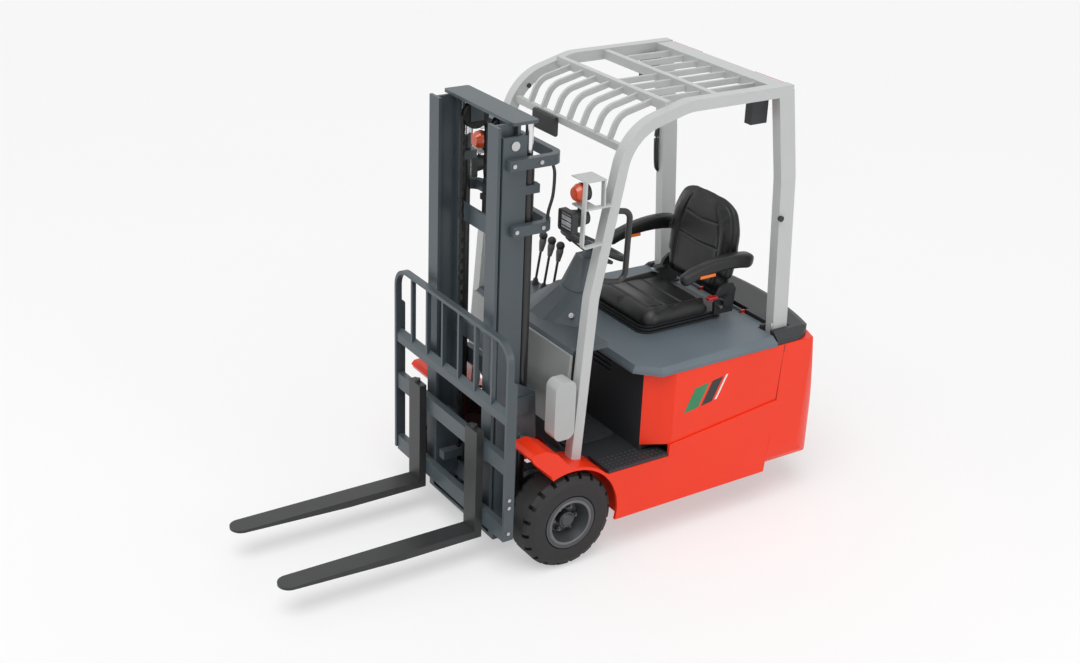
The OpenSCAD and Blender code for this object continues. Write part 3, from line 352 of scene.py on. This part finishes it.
def upholster(name, form, cap, grooves, mat, body):
    """Remesh, swell, smooth and subdivide, then press the seams in."""
    obj = bpy.data.objects.new(name, form)
    bpy.context.scene.collection.objects.link(obj)
    even = obj.modifiers.new("even", "REMESH")
    even.mode = "VOXEL"
    even.voxel_size = VOXEL
    even.use_smooth_shade = True
    obj.data = baked(obj)
    obj.modifiers.clear()
    swollen(obj, cap)
    obj.modifiers.new("smooth", "SMOOTH").iterations = 4
    obj.modifiers.new("subsurf", "SUBSURF").levels = 1
    mesh = baked(obj)
    bpy.data.objects.remove(obj)
    mesh.update()
    moves = [(v.index, v.co - v.normal * grooves(v.co, v.normal)) for v in mesh.vertices]
    for i, co in moves:
        mesh.vertices[i].co = co
    return place(name, mesh, mat, body, True)


def near_line(a, b, line):
    best = 1e9
    for (x0, y0), (x1, y1) in zip(line, line[1:]):
        dx, dy = x1 - x0, y1 - y0
        t = min(1.0, max(0.0, ((a - x0) * dx + (b - y0) * dy) / (dx * dx + dy * dy)))
        best = min(best, math.hypot(a - x0 - t * dx, b - y0 - t * dy))
    return best


def pressed(a, b, lines, depth, width):
    d = min(near_line(a, b, line) for line in lines)
    return depth * math.exp(-((d / width) ** 2))


def mirrored(line):
    return [(-a, b) for a, b in line]


SEAM_DEPTH = 0.0055
SEAM_W = 6.0
FACING = 0.35

# Seat cushion: raised nose, shallow dip and side bolsters that rise to the rear
CUSHION_Z = 910.0
CORNER_X, CORNER_FRONT, CORNER_REAR, CORNER_R = 168, 650, 922, 62
PAD_H, NOSE_H, DIP_H = 56, 11, 4
CUSHION_EDGE = 12
rim = []
for cx, cy, t0 in (
    (CORNER_X, CORNER_REAR, 0), (-CORNER_X, CORNER_REAR, 90),
    (-CORNER_X, CORNER_FRONT, 180), (CORNER_X, CORNER_FRONT, 270),
):
    for k in range(13):
        t = math.radians(t0 + 90 * k / 12)
        rim.append((cx + CORNER_R * math.cos(t), cy + CORNER_R * math.sin(t)))


def cushion_top(x, y, f):
    h = PAD_H + NOSE_H * swell(y, 652, 46) - DIP_H * swell(y, 860, 90)
    h += step01((abs(x) - 152) / 38) * (3 + 19 * step01((y - 640) / 330))
    return x, y, CUSHION_Z + CUSHION_EDGE + (h - 10) * math.sqrt(max(0.0, 1 - f ** 9))


def cushion_low(x, y, f):
    return x, y, CUSHION_Z + 1 + 5 * f ** 9


CUSHION_SIDE = [(156, 648), (160, 800), (150, 985)]
CUSHION_SEAMS = [mirrored(CUSHION_SIDE), CUSHION_SIDE, [(-156, 648), (156, 648)]]
CUSHION_SEAMS += [[(-158, y), (158, y)] for y in (742, 838)]


def cushion_groove(co, normal):
    if normal.z < FACING:
        return 0.0
    return pressed(co.x * 1000, (co.y - AXLE_Y) * 1000, CUSHION_SEAMS, SEAM_DEPTH, SEAM_W)


cushion_form = skin(rim, (0, 790), cushion_top, cushion_low)
cushion = upholster("seat_cushion_soft", cushion_form, 0.008, cushion_groove, VINYL, "lid")
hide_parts("seat_cushion")

# Seat back: shield outline with a dished front; w runs up from its lower edge
BACK_Z = 966.0
BACK_HALF = [
    (0, 4), (160, 4), (202, 22), (218, 90), (238, 124), (240, 296), (226, 366), (190, 430), (126, 461),
    (56, 468), (0, 469),
]
FRONT = [(0, 1006), (90, 1018), (160, 1027), (330, 1045), (430, 1063), (475, 1082)]
REAR = [(0, 1080), (40, 1097), (230, 1121), (420, 1129), (475, 1110)]
right = [(p.x, p.y) for p in smooth_path([(a, b, 0) for a, b in BACK_HALF], 6) if p.x > 0.5]
shield = right + mirrored(reversed(right))


def back_face(x, w, f, y, extra=0.0):
    mid = (between(FRONT, w) + between(REAR, w)) / 2
    return x, mid + (y + extra - mid) * math.sqrt(max(0.0, 1 - f ** 7)), BACK_Z + w


def back_front(x, w, f):
    dish = 15 * (1 - step01((abs(x) - 126) / 54)) * step01((w - 20) / 90) * (1 - step01((w - 300) / 110))
    head = 5 * swell(w, 392, 40) * swell(x, 0, 90)
    return back_face(x, w, f, between(FRONT, w), dish + head)


def back_rear(x, w, f):
    return back_face(x, w, f, between(REAR, w))


BACK_SIDE = [(142, 20), (152, 140), (148, 260), (126, 346), (92, 424)]
BACK_SEAMS = [
    mirrored(BACK_SIDE), BACK_SIDE, [(-150, 226), (0, 216), (150, 226)], [(-126, 344), (0, 332), (126, 344)],
]
RIM_SEAM = [(a * 0.91, 230 + (b - 230) * 0.93) for a, b in shield]


def back_groove(co, normal):
    x, w = co.x * 1000, co.z * 1000 - BACK_Z
    if normal.y < -FACING:
        return pressed(x, w, BACK_SEAMS, SEAM_DEPTH, SEAM_W) + pressed(x, w, [RIM_SEAM], 0.003, 5.0)
    return 0.0


back_form = skin(shield, (0, 225), back_front, back_rear)
back = upholster("seat_back_soft", back_form, 0.007, back_groove, VINYL, "lid")
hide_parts("seat_back")

# Armrests: swept along one line, fuller toward the rear, with rounded ends
ARM_X = 290
ARM = smooth_path(
    [(0, 722, 1139), (0, 780, 1163), (0, 860, 1183), (0, 950, 1193), (0, 1040, 1192), (0, 1136, 1178)], 9,
)
LAST = len(ARM) - 1
ends = [
    math.sqrt(max(0.02, 1 - max(0.0, 1 - min(i, LAST - i) / 4) ** 2)) * (0.86 + 0.3 * step01(i / LAST))
    for i in range(LAST + 1)
]
PIVOT_Y, PIVOT_Z = 1082, 1178
STRIP_HALF = 29
for s, tag in SIDES:
    line = [p + Vector((ARM_X * s, 0, 0)) for p in ARM]
    arm = sweep(f"armrest_{tag}", line, superellipse(28, 31, 0.55), VINYL, "lid", ends)
    if s > 0:
        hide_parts("armrests")
    pivot = ((226 * s, PIVOT_Y, PIVOT_Z), (266 * s, PIVOT_Y, PIVOT_Z), 19)
    rods(f"armrest_pivot_{tag}", PLASTIC, "lid", [pivot])
    strip = ((ARM_X * s - STRIP_HALF, 812, 1148), (ARM_X * s + STRIP_HALF, 900, 1162))
    boxes(f"armrest_strip_{tag}", ORANGE, "lid", [strip], 3)

# Small parts of the seat
RECLINE = (1050, 968)
boxes("recline_button", REDLENS, "lid", [((224, 930, 990), (252, 985, 1006))], 5)
rods(
    "recline_lever", PLASTIC, "lid",
    [((226, *RECLINE), (246, *RECLINE), 26), ((236, 1046, 968), (240, 958, 998), 8)],
)
rods("recline_pin", STEEL, "lid", [((226, 1010, 945), (250, 1010, 945), 7)])
BELT_LINE = [(-240, 1060, 930), (-226, 1030, 970), (-200, 990, 1004), (-176, 960, 1008)]
BELT_HALF_W, BELT_HALF_T = 22, 1.2
belt_section = [
    (-BELT_HALF_W, -BELT_HALF_T), (BELT_HALF_W, -BELT_HALF_T), (BELT_HALF_W, BELT_HALF_T),
    (-BELT_HALF_W, BELT_HALF_T),
]
sweep("seat_belt", smooth_path(BELT_LINE, 6), belt_section, BLACK, "lid")
boxes(
    "belt_buckle", PLASTIC, "lid",
    [((-192, 930, 996), (-148, 975, 1016)), ((-240, 1040, 918), (-227, 1075, 950))], 6,
)
boxes("belt_tongue", STEEL, "lid", [((-182, 912, 1003), (-158, 932, 1007))], 1.5)

# Lamps, mirror and trim on the guard
LAMP_X, LAMP_Z = 402, 1600
GLASS_HALF_W, GLASS_HALF_H = 43, 37
BAR_HALF_W = 46
BAR_LOW, BAR_STEP, BAR_T = 1580, 24, 4
AMBER_Z = 1714
TAIL_X, TAIL_Y, TAIL_HALF = 390, 1030, 17
TAIL_LENSES = (
    ("tail_red", REDLENS, 1950, 1998), ("tail_amber", AMBER, 1920, 1946), ("tail_clear", CLEAR, 1890, 1916),
)
for s, tag in SIDES:
    x = LAMP_X * s
    glass = ((x - GLASS_HALF_W, 2, LAMP_Z - GLASS_HALF_H), (x + GLASS_HALF_W, 9.5, LAMP_Z + GLASS_HALF_H))
    boxes(f"headlamp_glass_{tag}", CLEAR, "chassis", [glass], 4)
    levels = [BAR_LOW + BAR_STEP * k for k in range(3)]
    bars = [((x - BAR_HALF_W, -10, z), (x + BAR_HALF_W, -6, z + BAR_T)) for z in levels]
    boxes(f"headlamp_bars_{tag}", BLACK, "chassis", bars, 1)
    rods(f"amber_rim_{tag}", BLACK, "chassis", [((x, 66, AMBER_Z), (x, 72.2, AMBER_Z), 42.5)], 40)
    for part, mat, low_z, high_z in TAIL_LENSES:
        lens = ((TAIL_X * s - TAIL_HALF, TAIL_Y, low_z), (TAIL_X * s + TAIL_HALF, TAIL_Y + 5, high_z))
        boxes(f"{part}_{tag}", mat, "chassis", [lens], 3)
boxes("mirror_face", MIRROR, "chassis", [((-227, 249.5, 1804), (-63, 251.5, 1856))], 1)
rods("leg_knob", PLASTIC, "chassis", [((459, 1122, 1440), (474, 1122, 1440), 12, 14)])
rods("roof_plug", PLASTIC, "chassis", [((-407.5, 318, 1930), (-403, 318, 1930), 11)])
rods(
    "lid_latch", STEEL, "chassis",
    [
        ((461, 1150, 846), (466, 1150, 846), 9),
        ((464, 1148, 846), (464, 1138, 914), 4),
        ((461, 1138, 914), (467, 1138, 914), 7),
    ],
)

# Controls
rods(
    "column_stalks", PLASTIC, "chassis",
    [
        ((24, 412, 1238), (158, 405, 1258), 5),
        ((-24, 412, 1238), (-148, 405, 1258), 5),
        ((152, 405, 1257), (184, 403, 1262), 11, 9),
        ((-142, 405, 1257), (-172, 403, 1262), 11, 9),
    ],
    16,
)
rods(
    "start_switch", STEEL, "chassis",
    [((150, 232, 1022), (158, 216, 1034), 12), ((156, 219, 1032), (160, 210, 1038), 5)],
)
boxes("dash_panel", PLASTIC, "chassis", [((-30, 405, 1244), (30, 424, 1252))], 3)

# Step dots and mat ribs
STEP_Z = 430
DOT_PITCH, DOT_X, DOT_Y = 24, 424, 222
OPEN_Y, WALL_X = 424, 455
dots = bmesh.new()
for s, tag in SIDES:
    for i in range(5):
        for j in range(13):
            x, y = DOT_X + DOT_PITCH * i, DOT_Y + DOT_PITCH * j
            if y < OPEN_Y or x > WALL_X:
                add_rod(dots, (s * x, y, STEP_Z), (s * x, y, STEP_Z + 2.2), 6.5, 4.5, 10)
from_bm("step_grip", dots, PLASTIC, "chassis")
RIB_Y, RIB_PITCH, RIB_W, RIB_X = 172, 22, 8, 250
rib_starts = [RIB_Y + RIB_PITCH * k for k in range(11)]
boxes("mat_ribs", MAT, "chassis", [((-RIB_X, y, 438), (RIB_X, y + RIB_W, 440.5)) for y in rib_starts], 1)

# Side mark: slanted bars in film on both side panels, and the seam behind them
FILM_X = (527.25, 527.6)


def side_mark(name, mat, corners):
    """Thin film on both side panels, corners in the side view."""
    points, faces, n = [], [], len(corners)
    for s, tag in SIDES:
        o = len(points)
        points += [(s * x, y, z) for x in FILM_X for y, z in corners]
        faces += [tuple(o + k for k in range(n)), tuple(o + 2 * n - 1 - k for k in range(n))]
        faces += [(o + k, o + (k + 1) % n, o + n + (k + 1) % n, o + n + k) for k in range(n)]
    mesh = bpy.data.meshes.new(name)
    mesh.from_pydata([at(*p) for p in points], [], faces)
    place(name, mesh, mat, "chassis")


side_mark("mark_green", GREEN, [(604, 612), (684, 624), (740, 738), (660, 726)])
side_mark("mark_dark", DARK, [(702, 627), (762, 636), (818, 750), (758, 741)])
side_mark("mark_line", WHITE, [(778, 640), (790, 642), (846, 756), (834, 754)])
side_mark("seam_upper", DARK, [(1155, 546), (1159, 546), (1180, 828), (1176, 828)])

# Lever grips, handle on the far rear leg, rounded edge of the side ledge
LEVERS_X = (-150, -222, -294)
GRIP_LOW, GRIP_WIDE, GRIP_TOP = (344, 1160), (351, 1203), (356, 1236)
rods(
    "lever_grips", GRIP, "chassis",
    [((x, *GRIP_LOW), (x, *GRIP_WIDE), 10, 17) for x in LEVERS_X]
    + [((x, *GRIP_WIDE), (x, *GRIP_TOP), 17, 15) for x in LEVERS_X],
)
HANDLE_X = -450
HANDLE = [(1150, 1618), (1112, 1610), (1100, 1570), (1108, 1440), (1122, 1398), (1160, 1386)]
sweep("leg_handle", smooth_path([(HANDLE_X, y, z) for y, z in HANDLE], 8), ring(11), BLACK, "chassis")
LEDGE_START = (531.5, 532, 470)
LEDGE_RUN, LEDGE_RISE, LEDGE_R = 62.2, 7.46, 3.2
for s, tag in SIDES:
    x, y, z = LEDGE_START
    line = [Vector((x * s, y + LEDGE_RUN * k, z + LEDGE_RISE * k)) for k in range(11)]
    sweep(f"ledge_edge_{tag}", line, ring(LEDGE_R), RED, "chassis")

# Front wheels: nuts with stud ends, hub cap and a band on the rim's lip
WHEEL_Z = 228
NUT_CIRCLE, NUTS = 57, 6
NUT_X = (474, 491, 499)
CAP_X = (494.5, 510, 518)
BAND = ((538.5, 97), (540.6, 98), (540.6, 109), (539.0, 110))
BAND_STEPS = 72
for s, tag in SIDES:
    body = f"wheel_{tag}"
    nuts = []
    for k in range(NUTS):
        t = math.radians(360 / NUTS * k)
        y, z = NUT_CIRCLE * math.cos(t), WHEEL_Z + NUT_CIRCLE * math.sin(t)
        nuts.append(((NUT_X[0] * s, y, z), (NUT_X[1] * s, y, z), 11))
        nuts.append(((NUT_X[1] * s, y, z), (NUT_X[2] * s, y, z), 6))
    rods(f"wheel_nuts_{tag}", DULL, body, nuts, 6)
    cap = [(x * s, 0, WHEEL_Z) for x in CAP_X]
    rods(f"hub_cap_{tag}", RIM, body, [(cap[0], cap[1], 38), (cap[1], cap[2], 33, 26)], 32)
    band = bmesh.new()
    loops = []
    for x, r in BAND:
        circle = ring(r, BAND_STEPS)
        loops.append([band.verts.new(at(x * s, y, WHEEL_Z + z)) for y, z in circle])
    for a, b in zip(loops, loops[1:] + loops[:1]):
        for k in range(BAND_STEPS):
            m = (k + 1) % BAND_STEPS
            band.faces.new((a[k], a[m], b[m], b[k]))
    bmesh.ops.recalc_face_normals(band, faces=band.faces)
    from_bm(f"rim_band_{tag}", band, DULL, body, True)

# Lift chains: each chain node's mesh is copied into a new object in the same place, and the node itself is
# hidden
CHAIN_TOP = 1936
for node, start, end, pair in (
    ("chain_front", (0, -197, CHAIN_TOP), (0, -197, 350), ("mast_inner", "carriage")),
    ("chain_back", (0, -81, 1618), (0, -81, CHAIN_TOP), ("mast_outer", "mast_inner")),
):
    run = bpy.data.objects.new(f"{node}_run", nodes[node].data.copy())
    bpy.context.scene.collection.objects.link(run)
    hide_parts(node)
    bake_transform(run)

# Hose, bolts and pins of the mast and the carriage
HOSE = [(306, -14, 1819), (312, -8, 1780), (312, -12, 1690), (305, -26, 1620), (305, -30, 1581)]
sweep("mast_hose", smooth_path(HOSE, 8), ring(7), BLACK, "mast_outer")
CLAMP_BOLTS = (1710, 1728)
TIE_BOLTS = ((-210, 1843), (-80, 1843), (-190, 1556), (-60, 1556))
heads = []
for s, tag in SIDES:
    heads += [((256 * s, -63, z), (256 * s, -56, z), 9) for z in CLAMP_BOLTS]
    heads += [((320 * s, y, z), (326 * s, y, z), 10) for y, z in TIE_BOLTS]
rods("mast_bolts", STEEL, "mast_outer", heads, 6)
pins = [((290 * s, -190, 1918), (296 * s, -190, 1918), 20) for s, tag in SIDES]
rods("roller_pins", STEEL, "mast_outer", pins, 28)
REST_BOLTS = (410, 372, 244)
heads = [((499 * s, -302, z), (506 * s, -302, z), 9) for s, tag in SIDES for z in REST_BOLTS]
rods("backrest_bolts", STEEL, "carriage", heads, 6)
pins = [((254 * s, -333, 656), (254 * s, -333, 672), 13) for s, tag in SIDES]
rods("fork_pins", FORK, "carriage", pins, 20)

# Stage
WORLD_LIGHT = 0.45
FLOOR_WHITE = 0.45
FLOOR_HALF = 40.0
PHOTO_W, PHOTO_H = 1080, 663
FOCAL_PX = 1546.43
CENTRE_PX = (537.09, 324.23)
CAMERA_AT = (5.31607, -3.52346, 3.83070)
CAMERA_TO = (-0.09241, 0.07825, 0.89361)
CAMERA_ROLL = 2.22


def add_world(scene):
    """Soft white light, and a plain white backdrop for the camera and for reflections."""
    world = bpy.data.worlds.new("studio")
    scene.world = world
    world.use_nodes = True
    tree = world.node_tree
    new, link = tree.nodes.new, tree.links.new
    lit = tree.nodes["Background"]
    lit.inputs["Color"].default_value = (1, 1, 1, 1)
    lit.inputs["Strength"].default_value = WORLD_LIGHT
    seen = new("ShaderNodeBackground")
    seen.inputs["Color"].default_value = (1, 1, 1, 1)
    seen.inputs["Strength"].default_value = 1.0
    path = new("ShaderNodeLightPath")
    mix = new("ShaderNodeMixShader")
    either = new("ShaderNodeMath")
    either.operation = "MAXIMUM"
    link(path.outputs["Is Camera Ray"], either.inputs[0])
    link(path.outputs["Is Glossy Ray"], either.inputs[1])
    link(either.outputs["Value"], mix.inputs["Fac"])
    link(lit.outputs["Background"], mix.inputs[1])
    link(seen.outputs["Background"], mix.inputs[2])
    link(mix.outputs["Shader"], tree.nodes["World Output"].inputs["Surface"])


def add_floor(scene):
    """Pale floor that keeps the shadow and is partly plain white for the camera."""
    mesh = bpy.data.meshes.new("floor")
    s = FLOOR_HALF
    mesh.from_pydata([(-s, -s, 0), (s, -s, 0), (s, s, 0), (-s, s, 0)], [], [(0, 1, 2, 3)])
    floor = bpy.data.objects.new("floor", mesh)
    scene.collection.objects.link(floor)
    pale = material("floor_pale", (0.9, 0.9, 0.9), 0.9, vary=0.006, scale=0.6, shine=0.2)
    mesh.materials.append(pale)
    tree = pale.node_tree
    new, link = tree.nodes.new, tree.links.new
    white = new("ShaderNodeEmission")
    path = new("ShaderNodeLightPath")
    part = new("ShaderNodeMath")
    part.operation = "MULTIPLY"
    part.inputs[1].default_value = FLOOR_WHITE
    mix = new("ShaderNodeMixShader")
    link(path.outputs["Is Camera Ray"], part.inputs[0])
    link(part.outputs["Value"], mix.inputs["Fac"])
    link(tree.nodes["Principled BSDF"].outputs["BSDF"], mix.inputs[1])
    link(white.outputs["Emission"], mix.inputs[2])
    link(mix.outputs["Shader"], tree.nodes["Material Output"].inputs["Surface"])


def add_light(scene, name, kind, spot, target, energy, size):
    data = bpy.data.lights.new(name, kind)
    data.energy = energy
    if kind == "AREA":
        data.shape = "DISK"
        data.size = size
    else:
        data.angle = size
    obj = bpy.data.objects.new(name, data)
    scene.collection.objects.link(obj)
    obj.location = spot
    obj.rotation_euler = (Vector(target) - Vector(spot)).to_track_quat("-Z", "Y").to_euler()


def add_camera(scene):
    """Camera fitted to the photograph, with its roll and the small shift of its middle."""
    cam = bpy.data.cameras.new("camera")
    cam.sensor_width = 36.0
    cam.lens = cam.sensor_width * FOCAL_PX / PHOTO_W
    cam.shift_x = (PHOTO_W / 2 - CENTRE_PX[0]) / PHOTO_W
    cam.shift_y = (CENTRE_PX[1] - PHOTO_H / 2) / PHOTO_W
    view = bpy.data.objects.new("camera", cam)
    scene.collection.objects.link(view)
    spot = Vector(CAMERA_AT)
    ahead = (Vector(CAMERA_TO) - spot).normalized()
    across = ahead.cross(Vector((0, 0, 1))).normalized()
    up = across.cross(ahead)
    roll = math.radians(CAMERA_ROLL)
    level, plumb = across, up
    across = level * math.cos(roll) + plumb * math.sin(roll)
    up = plumb * math.cos(roll) - level * math.sin(roll)
    turn = Matrix((across, up, -ahead)).transposed()
    view.matrix_world = Matrix.Translation(spot) @ turn.to_4x4()
    scene.camera = view


studio = bpy.context.scene
studio.view_settings.view_transform = "Standard"
add_world(studio)
add_floor(studio)
add_light(studio, "sun", "SUN", (1.6, -2.2, 6.0), (0, 0, 0), 1.75, 0.8)
add_light(studio, "side", "AREA", (6.0, 1.8, 3.0), (0, 0.2, 0.9), 55, 3.0)
add_light(studio, "front", "AREA", (-1.5, -6.0, 2.5), (0, -0.3, 0.9), 45, 3.0)
add_camera(studio)
